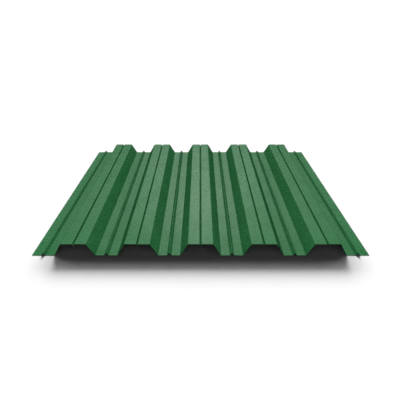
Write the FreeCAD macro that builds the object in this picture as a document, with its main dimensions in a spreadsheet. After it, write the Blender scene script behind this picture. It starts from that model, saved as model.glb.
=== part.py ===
import FreeCAD, Part
import math
import os

import Sketcher
from FreeCAD import Vector

# Box profile roofing sheet, roll-formed from one strip of coated steel.
# The ribs run along Y and the weather face looks up (+Z). The origin is at the
# middle of the sheet's footprint, on the level that its troughs rest on.

# Every size is in millimetres. Heights and widths are taken on the weather face,
# between the sharp corners that its folds would make without their radii.
SIZES = (
    ("sheet_length", 900, "length along the ribs"),
    ("sheet_thickness", 0.7, "steel with its coatings"),
    ("rib_count", 5, "ribs across the sheet"),
    ("rib_pitch", 200, "one rib to the next"),
    ("rib_height", 44, "under a trough to the top of a crest"),
    ("crest_width", 80, "flat top of a rib"),
    ("trough_width", 70, "flat pan between two ribs"),
    ("fold_radius", 3, "inside of the folds beside the webs"),
    ("groove_width", 6.5, "mouth of the groove along a crest"),
    ("groove_depth", 8, "crest down to the bottom of its groove"),
    ("groove_mouth_radius", 0.8, "inside of the folds at the mouth"),
    ("groove_root_radius", 0.5, "inside of the fold at the bottom"),
    ("ridge_width", 14, "foot of the ridge along a trough"),
    ("ridge_height", 9, "trough up to the top of its ridge"),
    ("ridge_foot_radius", 1, "inside of the folds at the foot"),
    ("ridge_top_radius", 0.5, "inside of the fold at the top"),
    ("flange_width", 37, "last ridge to the sheet's side edge"),
)

# A bend turns the strip up or down, as its section is followed towards +X.
UP, DOWN = (1, -1)

# How a sketch numbers the ends and centre of its lines and arcs, and its own axes.
START, END, CENTRE = range(1, 4)
X_AXIS, Y_AXIS = range(-1, -3, -1)

doc = FreeCAD.newDocument("RoofingSheet")
sizes = doc.addObject("Spreadsheet::Sheet", "Sizes")
for row, (alias, number, meaning) in enumerate(SIZES, start=1):
    sizes.set(f"A{row}", alias)
    sizes.set(f"B{row}", str(number))
    sizes.set(f"C{row}", meaning)
    sizes.setAlias(f"B{row}", alias)
doc.recompute()


def along(angle):
    """Direction of the strip where it climbs at this angle."""
    return Vector(math.cos(angle), math.sin(angle), 0)


def above(angle):
    """Direction square to the strip, out of its weather face."""
    return Vector(-math.sin(angle), math.cos(angle), 0)


class Bend:
    """One bend of the strip: two concentric arcs, a wall's thickness apart."""

    def __init__(self, turn, radius_name, angle_in, angle_out):
        self.turn = turn
        self.angles = (angle_in, angle_out)
        inside = f"Sizes.{radius_name}"
        outside = f"Sizes.{radius_name} + Sizes.sheet_thickness"
        self.formulas = (inside, outside) if turn == UP else (outside, inside)
        self.radii = tuple(sizes.evalExpression(formula) for formula in self.formulas)
        self.centre = None

    def at_corner(self, corner):
        """Round off a sharp corner of the weather face."""
        angle_in, angle_out = self.angles
        setback = self.radii[0] * math.tan(abs(angle_out - angle_in) / 2)
        entry = corner - along(angle_in) * setback
        self.centre = entry + above(angle_in) * (self.turn * self.radii[0])
        return self

    def at_centre(self, centre):
        """Stand on a line that the section is mirrored about."""
        self.centre = centre
        return self

    def arc(self, face):
        """Arc of the weather face (0) or the underside (1)."""
        radius = self.radii[face]
        circle = Part.Circle(self.centre, Vector(0, 0, 1), radius)
        first, last = (angle - self.turn * math.pi / 2 for angle in self.angles)
        return Part.ArcOfCircle(circle, min(first, last), max(first, last))

    def end_points(self, face):
        """Where the strip enters and leaves the bend."""
        reach = self.turn * self.radii[face]
        return tuple(self.centre - above(angle) * reach for angle in self.angles)

    def entry(self):
        """Which end of the arc the strip comes in by."""
        return START if self.turn == UP else END

    def exit(self):
        """Which end of the arc the strip goes out by."""
        return END if self.turn == UP else START


def flank_angle(corner, centre, radius):
    """Slope of a flank from a corner to the round top or bottom of its rib."""
    reach = centre - corner
    return math.atan2(abs(reach.y), abs(reach.x)) + math.asin(radius / reach.Length)


def tie(sketch, name, formula, kind, *where):
    """Add a named dimension that follows the sheet of sizes."""
    value = sketch.evalExpression(formula)
    index = sketch.addConstraint(Sketcher.Constraint(kind, *where, value))
    sketch.renameConstraint(index, name)
    sketch.setExpression(f"Constraints.{name}", formula)


def fix(sketch, kind, *where):
    """Add a constraint that has no size."""
    sketch.addConstraint(Sketcher.Constraint(kind, *where))


def draw_face(sketch, bends, face, plain_end):
    """Draw one face of the strip: an arc for each bend, with lines between."""
    arcs = [sketch.addGeometry(bend.arc(face)) for bend in bends]
    lines = []
    if plain_end is not None:
        first_point = bends[0].end_points(face)[0]
        edge_point = Vector(plain_end, first_point.y, 0)
        lines.append(sketch.addGeometry(Part.LineSegment(edge_point, first_point)))
        fix(sketch, "Tangent", lines[0], END, arcs[0], bends[0].entry())
    for before, after, arc_before, arc_after in zip(bends, bends[1:], arcs, arcs[1:]):
        run = Part.LineSegment(before.end_points(face)[1], after.end_points(face)[0])
        line = sketch.addGeometry(run)
        fix(sketch, "Tangent", arc_before, before.exit(), line, START)
        fix(sketch, "Tangent", line, END, arc_after, after.entry())
        lines.append(line)
    return arcs, lines


def draw_strip(sketch, bends, plain_end=None):
    """Draw both faces of a strip, concentric in every bend."""
    top_arcs, top_lines = draw_face(sketch, bends, 0, plain_end)
    under_arcs, under_lines = draw_face(sketch, bends, 1, plain_end)
    for number, (bend, top, under) in enumerate(zip(bends, top_arcs, under_arcs), start=1):
        fix(sketch, "Coincident", under, CENTRE, top, CENTRE)
        tie(sketch, f"top_radius_{number}", bend.formulas[0], "Radius", top)
        tie(sketch, f"under_radius_{number}", bend.formulas[1], "Radius", under)
    return top_arcs, top_lines, under_arcs, under_lines


def close_end(sketch, top, top_end, under, under_end):
    """Close the section across the strip's thickness."""
    blank = Part.LineSegment(sketch.getPoint(top, top_end), sketch.getPoint(under, under_end))
    cap = sketch.addGeometry(blank)
    fix(sketch, "Coincident", cap, START, top, top_end)
    fix(sketch, "Coincident", cap, END, under, under_end)
    return cap


def mark_corner(sketch, point, before, after):
    """Mark the sharp corner that two runs of the weather face would make."""
    corner = sketch.addGeometry(Part.Point(point), True)
    fix(sketch, "PointOnObject", corner, START, before)
    fix(sketch, "PointOnObject", corner, START, after)
    return corner


def place(sketch, name, across, height, element, end):
    """Place a point by its distance across the sheet and its height."""
    tie(sketch, f"{name}_across", across, "DistanceX", X_AXIS, START, element, end)
    if height is not None:
        tie(sketch, f"{name}_height", height, "DistanceY", X_AXIS, START, element, end)


def point_at(across, height):
    """Point of the section at two formulas' values."""
    return Vector(sizes.evalExpression(across), sizes.evalExpression(height), 0)


def plane_of(body, role):
    """One of the body's own origin planes."""
    return next(plane for plane in body.Origin.OriginFeatures if plane.Role == role)


def section_sketch(body, name):
    """New sketch on the plane that cuts the sheet across its ribs."""
    sketch = body.newObject("Sketcher::SketchObject", name)
    sketch.AttachmentSupport = (plane_of(body, "XZ_Plane"), "")
    sketch.MapMode = "FlatFace"
    return sketch


def extrude_section(body, name, sketch):
    """Run a section along the sheet's length, half of it to each side."""
    pad = body.newObject("PartDesign::Pad", name)
    pad.Profile = sketch
    pad.SideType = "Symmetric"
    pad.setExpression("Length", "Sizes.sheet_length")
    body.Tip = pad
    doc.recompute()
    return pad


# Heights and places that both sections share.
TROUGH_LEVEL = "Sizes.sheet_thickness"
CREST_LEVEL = "Sizes.rib_height"
HALF_PITCH = "Sizes.rib_pitch / 2"
RIDGE_CENTRE_HEIGHT = "Sizes.ridge_height - Sizes.ridge_top_radius"
ROOT_CENTRE_HEIGHT = "Sizes.rib_height - Sizes.groove_depth + Sizes.groove_root_radius"


def draw_half_rib(body):
    """Section from the middle of a crest's groove to the top of the next ridge."""
    groove_corner = point_at("Sizes.groove_width / 2", CREST_LEVEL)
    crest_corner = point_at("Sizes.crest_width / 2", CREST_LEVEL)
    trough_corner = point_at(f"{HALF_PITCH} - Sizes.trough_width / 2", TROUGH_LEVEL)
    ridge_corner = point_at(f"{HALF_PITCH} - Sizes.ridge_width / 2", TROUGH_LEVEL)
    root_centre = point_at("0", ROOT_CENTRE_HEIGHT)
    ridge_centre = point_at(HALF_PITCH, RIDGE_CENTRE_HEIGHT)

    root_radius = sizes.evalExpression("Sizes.groove_root_radius")
    ridge_radius = sizes.evalExpression("Sizes.ridge_top_radius + Sizes.sheet_thickness")
    groove_slope = flank_angle(groove_corner, root_centre, root_radius)
    ridge_slope = flank_angle(ridge_corner, ridge_centre, ridge_radius)
    fall = crest_corner - trough_corner
    web_slope = -math.atan2(fall.y, -fall.x)

    bends = (
        Bend(UP, "groove_root_radius", 0, groove_slope).at_centre(root_centre),
        Bend(DOWN, "groove_mouth_radius", groove_slope, 0).at_corner(groove_corner),
        Bend(DOWN, "fold_radius", 0, web_slope).at_corner(crest_corner),
        Bend(UP, "fold_radius", web_slope, 0).at_corner(trough_corner),
        Bend(UP, "ridge_foot_radius", 0, ridge_slope).at_corner(ridge_corner),
        Bend(DOWN, "ridge_top_radius", ridge_slope, 0).at_centre(ridge_centre),
    )
    sketch = section_sketch(body, "half_rib_section")
    top_arcs, top_lines, under_arcs, _ = draw_strip(sketch, bends)
    groove_flank, crest, web, trough, ridge_flank = top_lines

    root_cap = close_end(sketch, top_arcs[0], bends[0].entry(), under_arcs[0], bends[0].entry())
    fix(sketch, "PointOnObject", top_arcs[0], CENTRE, Y_AXIS)
    fix(sketch, "PointOnObject", root_cap, START, Y_AXIS)
    fix(sketch, "PointOnObject", root_cap, END, Y_AXIS)
    tie(sketch, "root_height", ROOT_CENTRE_HEIGHT, "DistanceY", X_AXIS, START, top_arcs[0], CENTRE)

    ridge_cap = close_end(sketch, top_arcs[5], bends[5].exit(), under_arcs[5], bends[5].exit())
    fix(sketch, "Vertical", ridge_cap)
    fix(sketch, "Vertical", ridge_cap, START, top_arcs[5], CENTRE)
    place(sketch, "ridge_top", HALF_PITCH, RIDGE_CENTRE_HEIGHT, top_arcs[5], CENTRE)

    fix(sketch, "Horizontal", crest)
    fix(sketch, "Horizontal", trough)
    corner = mark_corner(sketch, groove_corner, groove_flank, crest)
    place(sketch, "groove_mouth", "Sizes.groove_width / 2", CREST_LEVEL, corner, START)
    corner = mark_corner(sketch, crest_corner, crest, web)
    place(sketch, "crest_fold", "Sizes.crest_width / 2", None, corner, START)
    corner = mark_corner(sketch, trough_corner, web, trough)
    place(sketch, "trough_fold", f"{HALF_PITCH} - Sizes.trough_width / 2", TROUGH_LEVEL, corner, START)
    corner = mark_corner(sketch, ridge_corner, trough, ridge_flank)
    place(sketch, "ridge_foot", f"{HALF_PITCH} - Sizes.ridge_width / 2", None, corner, START)
    return sketch


def draw_side_flange(body):
    """Section from the sheet's plain side edge to the top of its outermost ridge."""
    edge = f"-{HALF_PITCH} - Sizes.flange_width"
    foot = f"-{HALF_PITCH} - Sizes.ridge_width / 2"
    ridge_corner = point_at(foot, TROUGH_LEVEL)
    ridge_centre = point_at(f"-{HALF_PITCH}", RIDGE_CENTRE_HEIGHT)
    ridge_radius = sizes.evalExpression("Sizes.ridge_top_radius + Sizes.sheet_thickness")
    ridge_slope = flank_angle(ridge_corner, ridge_centre, ridge_radius)
    bends = (
        Bend(UP, "ridge_foot_radius", 0, ridge_slope).at_corner(ridge_corner),
        Bend(DOWN, "ridge_top_radius", ridge_slope, 0).at_centre(ridge_centre),
    )
    sketch = section_sketch(body, "side_flange_section")
    plain_end = sizes.evalExpression(edge)
    top_arcs, top_lines, under_arcs, under_lines = draw_strip(sketch, bends, plain_end)
    flange, ridge_flank = top_lines

    edge_cap = close_end(sketch, flange, START, under_lines[0], START)
    fix(sketch, "Vertical", edge_cap)
    tie(sketch, "edge_across", edge, "DistanceX", X_AXIS, START, edge_cap, START)

    ridge_cap = close_end(sketch, top_arcs[1], bends[1].exit(), under_arcs[1], bends[1].exit())
    fix(sketch, "Vertical", ridge_cap)
    fix(sketch, "Vertical", ridge_cap, START, top_arcs[1], CENTRE)
    place(sketch, "ridge_top", f"-{HALF_PITCH}", RIDGE_CENTRE_HEIGHT, top_arcs[1], CENTRE)

    fix(sketch, "Horizontal", flange)
    corner = mark_corner(sketch, ridge_corner, flange, ridge_flank)
    place(sketch, "ridge_foot", foot, TROUGH_LEVEL, corner, START)
    return sketch


def make_sheet():
    """The whole sheet, drawn with its first rib over the body's own origin."""
    body = doc.addObject("PartDesign::Body", "profiled_sheet")
    body.Label = "profiled_sheet"

    half_rib = extrude_section(body, "half_rib", draw_half_rib(body))

    whole_rib = body.newObject("PartDesign::Mirrored", "whole_rib")
    whole_rib.Originals = [half_rib]
    whole_rib.MirrorPlane = (plane_of(body, "YZ_Plane"), [""])
    body.Tip = whole_rib

    rib_row = body.newObject("PartDesign::LinearPattern", "rib_row")
    rib_row.TransformMode = "Whole shape"
    rib_row.Direction = (plane_of(body, "X_Axis"), [""])
    rib_row.Mode = "Spacing"
    rib_row.setExpression("Offset", "Sizes.rib_pitch")
    rib_row.setExpression("Occurrences", "Sizes.rib_count")
    body.Tip = rib_row
    doc.recompute()

    flange = extrude_section(body, "side_flange", draw_side_flange(body))

    middle = body.newObject("PartDesign::Plane", "sheet_middle")
    middle.AttachmentSupport = (plane_of(body, "YZ_Plane"), "")
    middle.MapMode = "FlatFace"
    middle.setExpression("AttachmentOffset.Base.z", "(Sizes.rib_count - 1) * Sizes.rib_pitch / 2")

    both_flanges = body.newObject("PartDesign::Mirrored", "both_side_flanges")
    both_flanges.Originals = [flange]
    both_flanges.MirrorPlane = (middle, [""])
    body.Tip = both_flanges

    # The row of ribs is centred over the part's origin.
    body.setExpression("Placement.Base.x", "-(Sizes.rib_count - 1) * Sizes.rib_pitch / 2")
    doc.recompute()
    return body


def check(objects):
    """Stop if any object of the document failed or is not a sound solid."""
    for obj in doc.Objects:
        if "Invalid" in obj.State or "Error" in obj.State:
            raise RuntimeError(f"{obj.Label} did not build: {obj.State}")
    for obj in objects:
        shape = obj.Shape
        if shape.isNull() or not shape.isValid() or len(shape.Solids) != 1:
            raise RuntimeError(f"{obj.Label} is not one sound solid")


sheet = make_sheet()
check([sheet])
os.makedirs("parts", exist_ok=True)
sheet.Shape.exportStep(f"parts/{sheet.Label}.step")
box = sheet.Shape.BoundBox
print(f"{sheet.Label}: {box.XLength:.2f} x {box.YLength:.2f} x {box.ZLength:.2f} mm")
print(f"volume {sheet.Shape.Volume:.1f} mm3, {len(sheet.Shape.Faces)} faces")
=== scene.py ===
import logging
import math
from dataclasses import dataclass, field
from enum import Enum
from typing import Callable

import bpy
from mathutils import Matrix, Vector


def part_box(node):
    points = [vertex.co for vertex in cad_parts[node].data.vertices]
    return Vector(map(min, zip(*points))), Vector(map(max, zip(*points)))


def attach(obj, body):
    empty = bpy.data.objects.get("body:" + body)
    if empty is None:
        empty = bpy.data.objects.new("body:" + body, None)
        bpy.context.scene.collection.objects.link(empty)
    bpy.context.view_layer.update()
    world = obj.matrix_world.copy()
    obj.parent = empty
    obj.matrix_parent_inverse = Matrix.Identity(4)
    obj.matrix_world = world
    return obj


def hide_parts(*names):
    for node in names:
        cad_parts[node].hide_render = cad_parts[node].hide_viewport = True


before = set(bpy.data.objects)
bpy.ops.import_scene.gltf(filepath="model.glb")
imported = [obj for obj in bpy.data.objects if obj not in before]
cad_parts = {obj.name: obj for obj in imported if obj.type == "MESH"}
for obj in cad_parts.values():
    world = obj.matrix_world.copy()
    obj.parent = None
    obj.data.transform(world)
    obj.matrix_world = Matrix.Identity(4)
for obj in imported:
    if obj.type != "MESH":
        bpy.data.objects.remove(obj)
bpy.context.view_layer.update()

NODE = "profiled_sheet"
BODY = "root"
MM = 0.001

# Index of refraction of cured polyester or epoxy paint.
PAINT_IOR = 1.5
# Most values of a noise lie between these two.
NOISE_LOW, NOISE_HIGH = 0.3, 0.7
# Finer layers of a mottle, and how strong each is beside the one before it.
MOTTLE_LAYERS, MOTTLE_GRAIN = 2.0, 0.55
# Sockets of the node that mixes two colours: share, first, second and result.
SHARE, FIRST, SECOND, MIXED = 0, 6, 7, 2

log = logging.getLogger("roofing_sheet")


class Turn(Enum):
    """Which way the strip turns as it is followed away from the middle."""

    UP = 1
    DOWN = -1


class Side(Enum):
    """Which way across the sheet the strip is followed."""

    RIGHT = 1
    LEFT = -1


class Face(Enum):
    """The surfaces of the sheet, in the order of its material slots."""

    WEATHER = 0
    BACK = 1
    EDGE = 2


def linear(colour: str) -> tuple[float, float, float, float]:
    """Turn an sRGB hex colour into linear light.

    Args:
        colour: six hex digits after a hash sign.

    Returns:
        Red, green, blue and an alpha of one.
    """
    channels = [int(colour[place : place + 2], 16) / 255 for place in (1, 3, 5)]
    red, green, blue = (
        value / 12.92 if value <= 0.04045 else ((value + 0.055) / 1.055) ** 2.4
        for value in channels
    )
    return red, green, blue, 1.0


def add_node(
    tree: bpy.types.NodeTree, kind: str, inputs: dict | None = None, **settings: object
) -> bpy.types.Node:
    """Add one node with its settings, values and links.

    Args:
        tree: the node tree that it goes into.
        kind: the node's type name.
        inputs: for each input socket, a value or the socket that feeds it.
        **settings: the node's own fields.

    Returns:
        The new node.
    """
    node = tree.nodes.new(kind)
    for name, value in settings.items():
        setattr(node, name, value)
    for socket, value in (inputs or {}).items():
        if isinstance(value, bpy.types.NodeSocket):
            tree.links.new(value, node.inputs[socket])
        else:
            node.inputs[socket].default_value = value
    return node


def new_material(name: str) -> tuple[bpy.types.Material, bpy.types.NodeTree]:
    """Make a material with an empty node tree.

    Args:
        name: the finish in a maker's words.

    Returns:
        The material and its tree.
    """
    material = bpy.data.materials.new(name)
    material.use_nodes = True
    material.node_tree.nodes.clear()
    return material, material.node_tree


@dataclass(frozen=True)
class PolyesterCoat:
    """Green polyester paint, roller-coated on the strip and oven-cured before it is rolled.

    The paint levels as it cures, so the eye sees an even satin green with a faint
    orange peel, which breaks up the sheen into a fine mottle.
    """

    colour: str = "#27693A"
    pale: str = "#357549"
    roughness: float = 0.28
    unevenness: float = 0.06
    specular: float = 0.5
    # The tone wavers slightly in patches of these two sizes, where the film is thinner.
    mottle_size: float = 7 * MM
    cloud_size: float = 60 * MM
    # Sum of both patterns at which the paint is at its darkest and at its palest.
    tone_low: float = 0.7
    tone_high: float = 1.3
    # Real orange peel is 1 to 2 mm wide. It is drawn at 4 mm, so that it shows.
    peel_size: float = 4 * MM
    peel_depth: float = 0.05 * MM
    peel_layers: float = 1.0

    def material(self) -> bpy.types.Material:
        """Build the paint's nodes.

        Returns:
            The material.
        """
        material, tree = new_material("polyester_coil_coat")
        place = add_node(tree, "ShaderNodeTexCoord").outputs["Object"]
        fine = add_node(
            tree,
            "ShaderNodeTexNoise",
            {
                "Vector": place,
                "Scale": 1 / self.mottle_size,
                "Detail": MOTTLE_LAYERS,
                "Roughness": MOTTLE_GRAIN,
            },
        ).outputs["Fac"]
        cloud = add_node(
            tree,
            "ShaderNodeTexNoise",
            {
                "Vector": place,
                "Scale": 1 / self.cloud_size,
                "Detail": MOTTLE_LAYERS,
                "Roughness": MOTTLE_GRAIN,
            },
        ).outputs["Fac"]
        blend = add_node(
            tree, "ShaderNodeMath", {0: fine, 1: cloud}, operation="ADD"
        ).outputs[0]
        tone = add_node(
            tree,
            "ShaderNodeMapRange",
            {"Value": blend, "From Min": self.tone_low, "From Max": self.tone_high},
        ).outputs["Result"]
        green = add_node(
            tree,
            "ShaderNodeMix",
            {SHARE: tone, FIRST: linear(self.colour), SECOND: linear(self.pale)},
            data_type="RGBA",
        )
        rough = add_node(
            tree,
            "ShaderNodeMapRange",
            {
                "Value": fine,
                "From Min": NOISE_LOW,
                "From Max": NOISE_HIGH,
                "To Min": self.roughness - self.unevenness,
                "To Max": self.roughness + self.unevenness,
            },
        ).outputs["Result"]
        peel = add_node(
            tree,
            "ShaderNodeTexNoise",
            {
                "Vector": place,
                "Scale": 1 / self.peel_size,
                "Detail": self.peel_layers,
                "Roughness": MOTTLE_GRAIN,
            },
        ).outputs["Fac"]
        bump = add_node(
            tree, "ShaderNodeBump", {"Height": peel, "Distance": self.peel_depth}
        )
        shader = add_node(
            tree,
            "ShaderNodeBsdfPrincipled",
            {
                "Base Color": green.outputs[MIXED],
                "Roughness": rough,
                "IOR": PAINT_IOR,
                "Specular IOR Level": self.specular,
                "Normal": bump.outputs["Normal"],
            },
        )
        add_node(tree, "ShaderNodeOutputMaterial", {"Surface": shader.outputs[0]})
        return material


@dataclass(frozen=True)
class BackCoat:
    """Thin grey epoxy on the underside, baked on in the same line.

    It is a few microns thick and matt, so the eye sees a pale flat grey in which
    the zinc's crystals just show as cloudy patches.
    """

    colour: str = "#A9ADA9"
    cloudy: str = "#9BA09C"
    roughness: float = 0.55
    crystal_size: float = 12 * MM

    def material(self) -> bpy.types.Material:
        """Build the back coat's nodes.

        Returns:
            The material.
        """
        material, tree = new_material("epoxy_back_coat")
        place = add_node(tree, "ShaderNodeTexCoord").outputs["Object"]
        crystal = add_node(
            tree, "ShaderNodeTexVoronoi", {"Vector": place, "Scale": 1 / self.crystal_size}
        )
        grey = add_node(
            tree,
            "ShaderNodeMix",
            {
                SHARE: crystal.outputs["Distance"],
                FIRST: linear(self.colour),
                SECOND: linear(self.cloudy),
            },
            data_type="RGBA",
        )
        shader = add_node(
            tree,
            "ShaderNodeBsdfPrincipled",
            {
                "Base Color": grey.outputs[MIXED],
                "Roughness": self.roughness,
                "IOR": PAINT_IOR,
            },
        )
        add_node(tree, "ShaderNodeOutputMaterial", {"Surface": shader.outputs[0]})
        return material


@dataclass(frozen=True)
class ShearedEdge:
    """Bare edge of galvanised steel, where the shear cut the coated strip.

    The blade wipes some zinc over the steel, so the eye sees a thin line of dull
    metal with short streaks across the thickness.
    """

    colour: str = "#8E9290"
    roughness: float = 0.45
    unevenness: float = 0.12
    # Real streaks are about 0.3 mm wide. They are drawn at 1.5 mm, so that they show.
    streak_width: float = 1.5 * MM
    streak_layers: float = 1.0

    def material(self) -> bpy.types.Material:
        """Build the cut edge's nodes.

        Returns:
            The material.
        """
        material, tree = new_material("sheared_galvanised_steel")
        place = add_node(tree, "ShaderNodeTexCoord").outputs["Object"]
        streak = add_node(
            tree,
            "ShaderNodeTexNoise",
            {
                "Vector": place,
                "Scale": 1 / self.streak_width,
                "Detail": self.streak_layers,
                "Roughness": MOTTLE_GRAIN,
            },
        ).outputs["Fac"]
        rough = add_node(
            tree,
            "ShaderNodeMapRange",
            {
                "Value": streak,
                "From Min": NOISE_LOW,
                "From Max": NOISE_HIGH,
                "To Min": self.roughness - self.unevenness,
                "To Max": self.roughness + self.unevenness,
            },
        ).outputs["Result"]
        shader = add_node(
            tree,
            "ShaderNodeBsdfPrincipled",
            {"Base Color": linear(self.colour), "Metallic": 1.0, "Roughness": rough},
        )
        add_node(tree, "ShaderNodeOutputMaterial", {"Surface": shader.outputs[0]})
        return material


@dataclass(frozen=True)
class StudioPaper:
    """Seamless paper that the sheet lies on, of uncoated pulp.

    Its fibres scatter the light evenly, so the eye sees a matt white with no sheen.
    """

    colour: str = "#F4F4F4"
    roughness: float = 0.9

    def material(self) -> bpy.types.Material:
        """Build the paper's nodes.

        Returns:
            The material.
        """
        material, tree = new_material("seamless_white_paper")
        shader = add_node(
            tree,
            "ShaderNodeBsdfPrincipled",
            {
                "Base Color": linear(self.colour),
                "Roughness": self.roughness,
                "Specular IOR Level": 0.0,
            },
        )
        add_node(tree, "ShaderNodeOutputMaterial", {"Surface": shader.outputs[0]})
        return material


@dataclass(frozen=True)
class FeatheredScrim:
    """Woven black gauze on a frame, opaque in the middle and thinned to nothing at both ends.

    The camera never sees it. It lets more and more light by towards its ends, so that
    the shadow in front of the sheet fades there. The room's faint light also passes
    to the hollows behind it, which would be pitch black without.
    """

    # Half widths in metres of the part that is opaque, and of the whole scrim.
    opaque_half: float = 0.36
    clear_half: float = 0.55

    def material(self) -> bpy.types.Material:
        """Build the scrim's nodes.

        Returns:
            The material.
        """
        material, tree = new_material("feathered_black_gauze")
        place = add_node(tree, "ShaderNodeTexCoord").outputs["Object"]
        across = add_node(tree, "ShaderNodeSeparateXYZ", {0: place}).outputs["X"]
        reach = add_node(tree, "ShaderNodeMath", {0: across}, operation="ABSOLUTE").outputs[0]
        thin = add_node(
            tree,
            "ShaderNodeMapRange",
            {"Value": reach, "From Min": self.opaque_half, "From Max": self.clear_half},
            interpolation_type="SMOOTHSTEP",
        ).outputs["Result"]
        path = add_node(tree, "ShaderNodeLightPath")
        face = add_node(tree, "ShaderNodeNewGeometry")
        from_behind = add_node(
            tree,
            "ShaderNodeMath",
            {0: path.outputs["Is Diffuse Ray"], 1: face.outputs["Backfacing"]},
            operation="MULTIPLY",
        ).outputs[0]
        open_share = add_node(
            tree, "ShaderNodeMath", {0: thin, 1: from_behind}, operation="MAXIMUM"
        ).outputs[0]
        gauze = add_node(tree, "ShaderNodeBsdfDiffuse", {"Color": (0, 0, 0, 1)})
        gap = add_node(tree, "ShaderNodeBsdfTransparent")
        shader = add_node(
            tree,
            "ShaderNodeMixShader",
            {"Fac": open_share, 1: gauze.outputs[0], 2: gap.outputs[0]},
        )
        add_node(tree, "ShaderNodeOutputMaterial", {"Surface": shader.outputs[0]})
        return material


def deselect() -> None:
    """Leave no object selected, so that an operator acts on the new piece alone."""
    bpy.ops.object.select_all(action="DESELECT")


def apply_modifier(piece: bpy.types.Object, name: str, kind: str, **settings: object) -> None:
    """Add a modifier, set it and apply it.

    Args:
        piece: the active object.
        name: the modifier's name.
        kind: its type.
        **settings: its fields.
    """
    modifier = piece.modifiers.new(name, kind)
    for key, value in settings.items():
        setattr(modifier, key, value)
    bpy.ops.object.modifier_apply(modifier=modifier.name)


def select_edge(piece: bpy.types.Object, test: Callable[[Vector], bool]) -> None:
    """Select the vertices that pass a test, with the edges between them.

    Args:
        piece: the active object, in object mode; it is left in edit mode.
        test: says whether a vertex at this place belongs.
    """
    mesh = piece.data
    mesh.polygons.foreach_set("select", [False] * len(mesh.polygons))
    mesh.edges.foreach_set("select", [False] * len(mesh.edges))
    mesh.vertices.foreach_set("select", [test(v.co) for v in mesh.vertices])
    bpy.ops.object.mode_set(mode="EDIT")
    bpy.ops.mesh.select_mode(type="VERT")


@dataclass(frozen=True)
class Section:
    """Sizes of the sheet's section, in metres, taken on its weather face.

    Width, length and height are those of the whole sheet.
    """

    width: float
    length: float
    height: float
    pitch: float = 200 * MM
    crest: float = 80 * MM
    trough: float = 70 * MM
    thickness: float = 0.7 * MM
    fold_radius: float = 3 * MM
    groove_width: float = 6.5 * MM
    groove_depth: float = 8 * MM
    groove_mouth_radius: float = 0.8 * MM
    groove_root_radius: float = 0.5 * MM
    ridge_width: float = 14 * MM
    ridge_height: float = 9 * MM
    ridge_foot_radius: float = 1 * MM
    ridge_top_radius: float = 0.5 * MM

    @property
    def ribs(self) -> int:
        """Whole ribs across the sheet."""
        return int(self.width // self.pitch)

    @property
    def flange(self) -> float:
        """Outermost ridge to the side edge."""
        return (self.width - self.ribs * self.pitch) / 2

    @property
    def web_slope(self) -> float:
        """Angle at which a web falls from its crest."""
        run = (self.pitch - self.crest - self.trough) / 2
        return math.atan2(self.height - self.thickness, run)

    @property
    def groove_slope(self) -> float:
        """Angle of a groove's flank."""
        return self.flank(self.groove_width, self.groove_depth, self.groove_root_radius)

    @property
    def ridge_slope(self) -> float:
        """Angle of a ridge's flank."""
        top_radius = self.ridge_top_radius + self.thickness
        return self.flank(self.ridge_width, self.ridge_height, top_radius)

    @staticmethod
    def flank(width: float, rise: float, radius: float) -> float:
        """Angle of a flank that ends tangent to a round top or bottom.

        Args:
            width: foot or mouth, corner to corner.
            rise: height or depth.
            radius: radius of the round on the weather face.

        Returns:
            The angle in radians.
        """
        across, up = width / 2, rise - radius
        return math.atan2(up, across) + math.asin(radius / math.hypot(across, up))


@dataclass
class Rolls:
    """Lengthen the selected edge run by run and bend by bend, as the rolls form the strip.

    Each bend has as many facets as it has steps.
    """

    side: Side
    point: Vector
    thickness: float
    slope: float = 0.0
    steps: int = 6

    def heading(self) -> Vector:
        """Direction in which the strip goes on."""
        return Vector((self.side.value * math.cos(self.slope), 0, math.sin(self.slope)))

    def above(self) -> Vector:
        """Direction out of the weather face."""
        return Vector((-self.side.value * math.sin(self.slope), 0, math.cos(self.slope)))

    def run(self, distance: float) -> None:
        """Go straight on.

        Args:
            distance: length of the run in metres.
        """
        step = self.heading() * distance
        bpy.ops.mesh.extrude_region_move(TRANSFORM_OT_translate={"value": step})
        self.point += step

    def bend(self, turn: Turn, inside_radius: float, angle: float) -> None:
        """Turn round an arc.

        Args:
            turn: up or down.
            inside_radius: radius of the arc's inner face.
            angle: how far it turns, in radians.
        """
        radius = self.outer(turn, inside_radius)
        centre = self.point + self.above() * (turn.value * radius)
        bpy.ops.mesh.spin(
            steps=self.steps,
            angle=angle * turn.value * self.side.value,
            center=centre,
            axis=(0, 1, 0),
        )
        self.slope += turn.value * angle
        self.point = centre - self.above() * (turn.value * radius)

    def outer(self, turn: Turn, inside_radius: float) -> float:
        """Radius of a bend on the weather face."""
        return inside_radius if turn is Turn.UP else inside_radius + self.thickness


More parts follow.
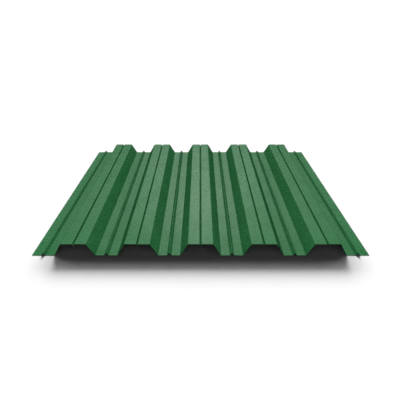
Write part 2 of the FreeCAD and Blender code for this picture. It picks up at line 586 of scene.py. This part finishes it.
@dataclass
class ProfiledSheet:
    """The roofing sheet: one strip of coated steel with five ribs rolled along it."""

    section: Section
    weather_coat: PolyesterCoat = field(default_factory=PolyesterCoat)
    back_coat: BackCoat = field(default_factory=BackCoat)
    cut_edge: ShearedEdge = field(default_factory=ShearedEdge)
    name: str = "coated_sheet"
    # Edges that turn by more than this, in degrees, stay sharp.
    crease: float = 30.0
    flat_weight: int = 100

    def setback(self, turn: Turn, inside_radius: float, angle: float) -> float:
        """Sharp corner of a fold to where its arc starts, on the weather face."""
        top = inside_radius if turn is Turn.UP else inside_radius + self.section.thickness
        return top * math.tan(angle / 2)

    def crest_blank(self) -> bpy.types.Object:
        """Lay down the flat half of a crest, between its groove and its fold.

        Returns:
            The piece, in object mode.
        """
        s = self.section
        mouth = self.setback(Turn.DOWN, s.groove_mouth_radius, s.groove_slope)
        fold = self.setback(Turn.DOWN, s.fold_radius, s.web_slope)
        start = s.groove_width / 2 + mouth
        end = s.crest / 2 - fold
        deselect()
        bpy.ops.mesh.primitive_plane_add(size=1, location=((start + end) / 2, 0, s.height))
        piece = bpy.context.object
        piece.name = piece.data.name = self.name
        piece.scale = (end - start, s.length, 1)
        bpy.ops.object.transform_apply(location=True, rotation=True, scale=True)
        return piece

    def roll_outwards(self, piece: bpy.types.Object) -> None:
        """Form the web, the trough and half of its ridge.

        Args:
            piece: the crest's flat half.
        """
        s = self.section
        end = max(v.co.x for v in piece.data.vertices)
        select_edge(piece, lambda place: place.x > end - s.thickness / 2)
        rolls = Rolls(Side.RIGHT, Vector((end, 0, s.height)), s.thickness)
        rolls.bend(Turn.DOWN, s.fold_radius, s.web_slope)
        fold = self.setback(Turn.DOWN, s.fold_radius, s.web_slope)
        foot = self.setback(Turn.UP, s.fold_radius, s.web_slope)
        web = math.hypot((s.pitch - s.crest - s.trough) / 2, s.height - s.thickness)
        rolls.run(web - fold - foot)
        rolls.bend(Turn.UP, s.fold_radius, s.web_slope)
        ridge_foot = self.setback(Turn.UP, s.ridge_foot_radius, s.ridge_slope)
        rolls.run((s.trough - s.ridge_width) / 2 - foot - ridge_foot)
        rolls.bend(Turn.UP, s.ridge_foot_radius, s.ridge_slope)
        rolls.run(self.ridge_flank())
        rolls.bend(Turn.DOWN, s.ridge_top_radius, s.ridge_slope)
        bpy.ops.object.mode_set(mode="OBJECT")
        log.info("half rib ends at %.4f, %.4f", rolls.point.x, rolls.point.z)

    def ridge_flank(self) -> float:
        """Straight length of a ridge's flank."""
        s = self.section
        return self.flank_length(
            s.ridge_width,
            s.ridge_height,
            s.ridge_top_radius + s.thickness,
            self.setback(Turn.UP, s.ridge_foot_radius, s.ridge_slope),
        )

    @staticmethod
    def flank_length(width: float, rise: float, radius: float, setback: float) -> float:
        """Straight part of a flank, from its corner's fold to its round.

        Args:
            width: foot or mouth, corner to corner.
            rise: height or depth.
            radius: radius of the round on the weather face.
            setback: what the fold at the corner takes.

        Returns:
            The length in metres.
        """
        reach = math.hypot(width / 2, rise - radius)
        return math.sqrt(reach**2 - radius**2) - setback

    def roll_inwards(self, piece: bpy.types.Object) -> None:
        """Form half of the groove, up to the rib's middle.

        Args:
            piece: the half rib so far.
        """
        s = self.section
        start = min(v.co.x for v in piece.data.vertices)
        select_edge(piece, lambda place: place.x < start + s.thickness / 2)
        rolls = Rolls(Side.LEFT, Vector((start, 0, s.height)), s.thickness)
        rolls.bend(Turn.DOWN, s.groove_mouth_radius, s.groove_slope)
        mouth = self.setback(Turn.DOWN, s.groove_mouth_radius, s.groove_slope)
        flank = self.flank_length(s.groove_width, s.groove_depth, s.groove_root_radius, mouth)
        rolls.run(flank)
        rolls.bend(Turn.UP, s.groove_root_radius, s.groove_slope)
        bpy.ops.object.mode_set(mode="OBJECT")
        log.info("groove ends at %.4f, %.4f", rolls.point.x, rolls.point.z)

    def repeat_rib(self, piece: bpy.types.Object) -> None:
        """Mirror the half rib and set the ribs side by side.

        Args:
            piece: the half rib.
        """
        s = self.section
        weld = s.thickness / 10
        apply_modifier(piece, "other_half", "MIRROR", use_clip=True, merge_threshold=weld)
        apply_modifier(
            piece,
            "ribs",
            "ARRAY",
            count=s.ribs,
            use_relative_offset=False,
            use_constant_offset=True,
            constant_offset_displace=(s.pitch, 0, 0),
            use_merge_vertices=True,
            merge_threshold=weld,
        )
        piece.location.x = -(s.ribs - 1) * s.pitch / 2
        bpy.ops.object.transform_apply(location=True, rotation=False, scale=False)

    def roll_flange(self, piece: bpy.types.Object, side: Side) -> None:
        """Finish the outermost ridge on one side and run out to the plain edge.

        Args:
            piece: the row of ribs.
            side: the side on which the flange is rolled.
        """
        s = self.section
        reach = max(side.value * v.co.x for v in piece.data.vertices)
        select_edge(piece, lambda place: side.value * place.x > reach - s.thickness / 10)
        top = s.thickness + s.ridge_height
        rolls = Rolls(side, Vector((side.value * reach, 0, top)), s.thickness)
        rolls.bend(Turn.DOWN, s.ridge_top_radius, s.ridge_slope)
        rolls.run(self.ridge_flank())
        rolls.bend(Turn.UP, s.ridge_foot_radius, s.ridge_slope)
        foot = self.setback(Turn.UP, s.ridge_foot_radius, s.ridge_slope)
        rolls.run(s.flange - s.ridge_width / 2 - foot)
        bpy.ops.object.mode_set(mode="OBJECT")
        end = rolls.point
        log.info("%s flange ends at %.4f, %.4f", side.name.lower(), end.x, end.z)

    def thicken(self, piece: bpy.types.Object) -> None:
        """Give the strip its thickness below the weather face.

        Args:
            piece: the whole weather face.
        """
        bpy.ops.object.mode_set(mode="EDIT")
        bpy.ops.mesh.select_all(action="SELECT")
        bpy.ops.mesh.remove_doubles(threshold=self.section.thickness / 100)
        bpy.ops.mesh.normals_make_consistent(inside=False)
        bpy.ops.object.mode_set(mode="OBJECT")
        if sum(polygon.normal.z * polygon.area for polygon in piece.data.polygons) < 0:
            bpy.ops.object.mode_set(mode="EDIT")
            bpy.ops.mesh.flip_normals()
            bpy.ops.object.mode_set(mode="OBJECT")
        apply_modifier(
            piece,
            "steel",
            "SOLIDIFY",
            thickness=self.section.thickness,
            offset=-1,
            use_even_offset=True,
            material_offset=Face.BACK.value,
            material_offset_rim=Face.EDGE.value,
        )

    def dress(self, piece: bpy.types.Object) -> None:
        """Smooth the folds and keep the flats flat in the light.

        Args:
            piece: the sheet with its thickness.
        """
        bpy.ops.object.shade_smooth_by_angle(angle=math.radians(self.crease))
        apply_modifier(
            piece, "flat_runs", "WEIGHTED_NORMAL", keep_sharp=True, weight=self.flat_weight
        )

    def build(self) -> bpy.types.Object:
        """Make the sheet in place of its plain solid.

        Returns:
            The finished piece, riding on the part's one body.
        """
        piece = self.crest_blank()
        self.roll_outwards(piece)
        self.roll_inwards(piece)
        self.repeat_rib(piece)
        self.roll_flange(piece, Side.RIGHT)
        self.roll_flange(piece, Side.LEFT)
        for finish in (self.weather_coat, self.back_coat, self.cut_edge):
            piece.data.materials.append(finish.material())
        self.thicken(piece)
        self.dress(piece)
        # The sheet isn't mirrored in its own paint. Its flats would wash out the webs there.
        piece.visible_glossy = False
        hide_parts(NODE)
        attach(piece, BODY)
        return piece


@dataclass(frozen=True)
class Card:
    """Lit white card that stands behind the sheet.

    Its width, and the distance and height of its middle, are in metres. Its power is in watts.
    """

    width: float
    distance: float
    height: float
    power: float


@dataclass(frozen=True)
class Key:
    """Soft distant light: its height and spread in degrees, and its strength.

    It stands behind the sheet, or that many degrees around from there.
    """

    height_angle: float
    spread: float
    strength: float
    around: float = 0.0


@dataclass
class Studio:
    """White paper, a scrim, soft keys, lit cards for the sheen, and the camera."""

    # The paper reaches this far each way, and lies just under the sheet.
    floor_half: float = 200.0
    floor_drop: float = 0.2 * MM
    ambient: float = 0.045
    scrim: FeatheredScrim = field(default_factory=FeatheredScrim)
    scrim_gap: float = 0.5 * MM
    # A low key from behind, and a weaker one above it that softens the shadow's near side.
    # Two weak ones from the sides light the webs and crests more than the troughs.
    keys: tuple[Key, ...] = (
        Key(24.4, 22.0, 6.2),
        Key(45.0, 40.0, 0.38),
        Key(20.0, 30.0, 0.76, 50.0),
        Key(20.0, 30.0, 0.76, -50.0),
    )
    # Two wide cards and two narrow ones, so that the sheen is strongest in the middle.
    # No two stand in one plane, because each would hide the other's light.
    cards: tuple[Card, ...] = (
        Card(5.4, 4.1, 3.0, 13.4),
        Card(3.8, 4.1, 1.9, 4.5),
        Card(1.8, 4.0, 1.9, 2.6),
        Card(0.6, 4.0, 2.8, 2.4),
    )
    card_depth: float = 1.2
    paper: StudioPaper = field(default_factory=StudioPaper)

    # The camera's lens and place, fitted to the sheet's fold lines in the photograph.
    focal_pixels: float = 371.4
    image_pixels: float = 400.0
    sensor: float = 36.0
    tilt: float = 28.56
    camera_height: float = 0.7205
    camera_before_edge: float = 0.9538
    camera_across: float = -0.0019

    def floor(self) -> bpy.types.Object:
        """Lay the paper.

        Returns:
            The floor.
        """
        deselect()
        bpy.ops.mesh.primitive_plane_add(
            size=2 * self.floor_half, location=(0, 0, -self.floor_drop)
        )
        floor = bpy.context.object
        floor.name = "studio_floor"
        floor.data.materials.append(self.paper.material())
        floor.visible_glossy = False
        return floor

    def shade(self, section: Section) -> bpy.types.Object:
        """Stand a low scrim before the near edge, out of the camera's sight.

        It keeps the keys off the floor there, so that the sheet's shadow is one soft band.

        Args:
            section: the sheet's sizes.

        Returns:
            The scrim.
        """
        deselect()
        bpy.ops.mesh.primitive_plane_add(
            size=1,
            location=(0, -section.length / 2 - self.scrim_gap, section.height / 2),
            rotation=(math.radians(90), 0, 0),
        )
        scrim = bpy.context.object
        scrim.name = "shadow_scrim"
        scrim.scale = (2 * self.scrim.clear_half, section.height, 1)
        bpy.ops.object.transform_apply(location=True, rotation=True, scale=True)
        scrim.data.materials.append(self.scrim.material())
        scrim.visible_camera = False
        scrim.visible_glossy = False
        return scrim

    def world(self) -> None:
        """White background, which gives the surfaces a little fill and no gloss."""
        world = bpy.data.worlds.new("studio_fill")
        world.use_nodes = True
        tree = world.node_tree
        tree.nodes.clear()
        path = add_node(tree, "ShaderNodeLightPath")
        fill = add_node(
            tree,
            "ShaderNodeMapRange",
            {
                "Value": path.outputs["Is Glossy Ray"],
                "To Min": self.ambient,
                "To Max": 0.0,
            },
        )
        strength = add_node(
            tree,
            "ShaderNodeMath",
            {0: fill.outputs["Result"], 1: path.outputs["Is Camera Ray"]},
            operation="MAXIMUM",
        )
        sky = add_node(
            tree,
            "ShaderNodeBackground",
            {"Color": (1, 1, 1, 1), "Strength": strength.outputs[0]},
        )
        add_node(tree, "ShaderNodeOutputWorld", {"Surface": sky.outputs[0]})
        bpy.context.scene.world = world

    def key(self, key: Key) -> bpy.types.Object:
        """Hang a soft distant light.

        Args:
            key: its height, spread, strength and direction.

        Returns:
            The light.
        """
        data = bpy.data.lights.new("key", "SUN")
        data.energy = key.strength
        data.angle = math.radians(key.spread)
        light = bpy.data.objects.new("key", data)
        from_above = math.radians(90 - key.height_angle)
        light.rotation_euler = (-from_above, 0, math.radians(key.around))
        light.visible_glossy = False
        bpy.context.collection.objects.link(light)
        return light

    def sheen(self, card: Card) -> bpy.types.Object:
        """Stand a lit card behind the sheet, which the paint mirrors as its sheen.

        Args:
            card: its sizes and power.

        Returns:
            The light.
        """
        data = bpy.data.lights.new("sheen_card", "AREA")
        data.shape = "RECTANGLE"
        data.size, data.size_y = card.width, self.card_depth
        data.energy = card.power
        light = bpy.data.objects.new("sheen_card", data)
        light.location = (0, card.distance, card.height)
        to_sheet = -light.location
        light.rotation_euler = to_sheet.to_track_quat("-Z", "Y").to_euler()
        light.visible_camera = False
        bpy.context.collection.objects.link(light)
        return light

    def camera(self, section: Section) -> bpy.types.Object:
        """Set the camera as the photograph has it.

        Args:
            section: the sheet's sizes.

        Returns:
            The camera.
        """
        data = bpy.data.cameras.new("camera")
        data.sensor_width = self.sensor
        data.lens = self.focal_pixels / self.image_pixels * self.sensor
        data.clip_end = 4 * self.floor_half
        camera = bpy.data.objects.new("camera", data)
        near_edge = -section.length / 2
        camera.location = (
            self.camera_across,
            near_edge - self.camera_before_edge,
            self.camera_height,
        )
        camera.rotation_euler = (math.radians(90 - self.tilt), 0, 0)
        bpy.context.collection.objects.link(camera)
        bpy.context.scene.camera = camera
        return camera

    def build(self, section: Section) -> None:
        """Set up the floor, scrim, lights and camera.

        Args:
            section: the sheet's sizes.
        """
        pieces = [self.floor(), self.shade(section)]
        self.world()
        pieces += [self.key(key) for key in self.keys]
        pieces += [self.sheen(card) for card in self.cards]
        pieces.append(self.camera(section))
        log.info("studio: %s", ", ".join(piece.name for piece in pieces))
        bpy.context.scene.view_settings.view_transform = "Standard"


def main() -> None:
    """Build the sheet and the studio from the part's box, and log the sheet's ribs, flange and
    faces.
    """
    logging.basicConfig(level=logging.INFO, format="%(name)s: %(message)s")
    low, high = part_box(NODE)
    span = high - low
    section = Section(width=span.x, length=span.y, height=span.z)
    log.info("%d ribs, flange %.4f", section.ribs, section.flange)
    piece = ProfiledSheet(section).build()
    log.info("%s: %d faces", piece.name, len(piece.data.polygons))
    Studio().build(section)


if __name__ == "__main__":
    main()
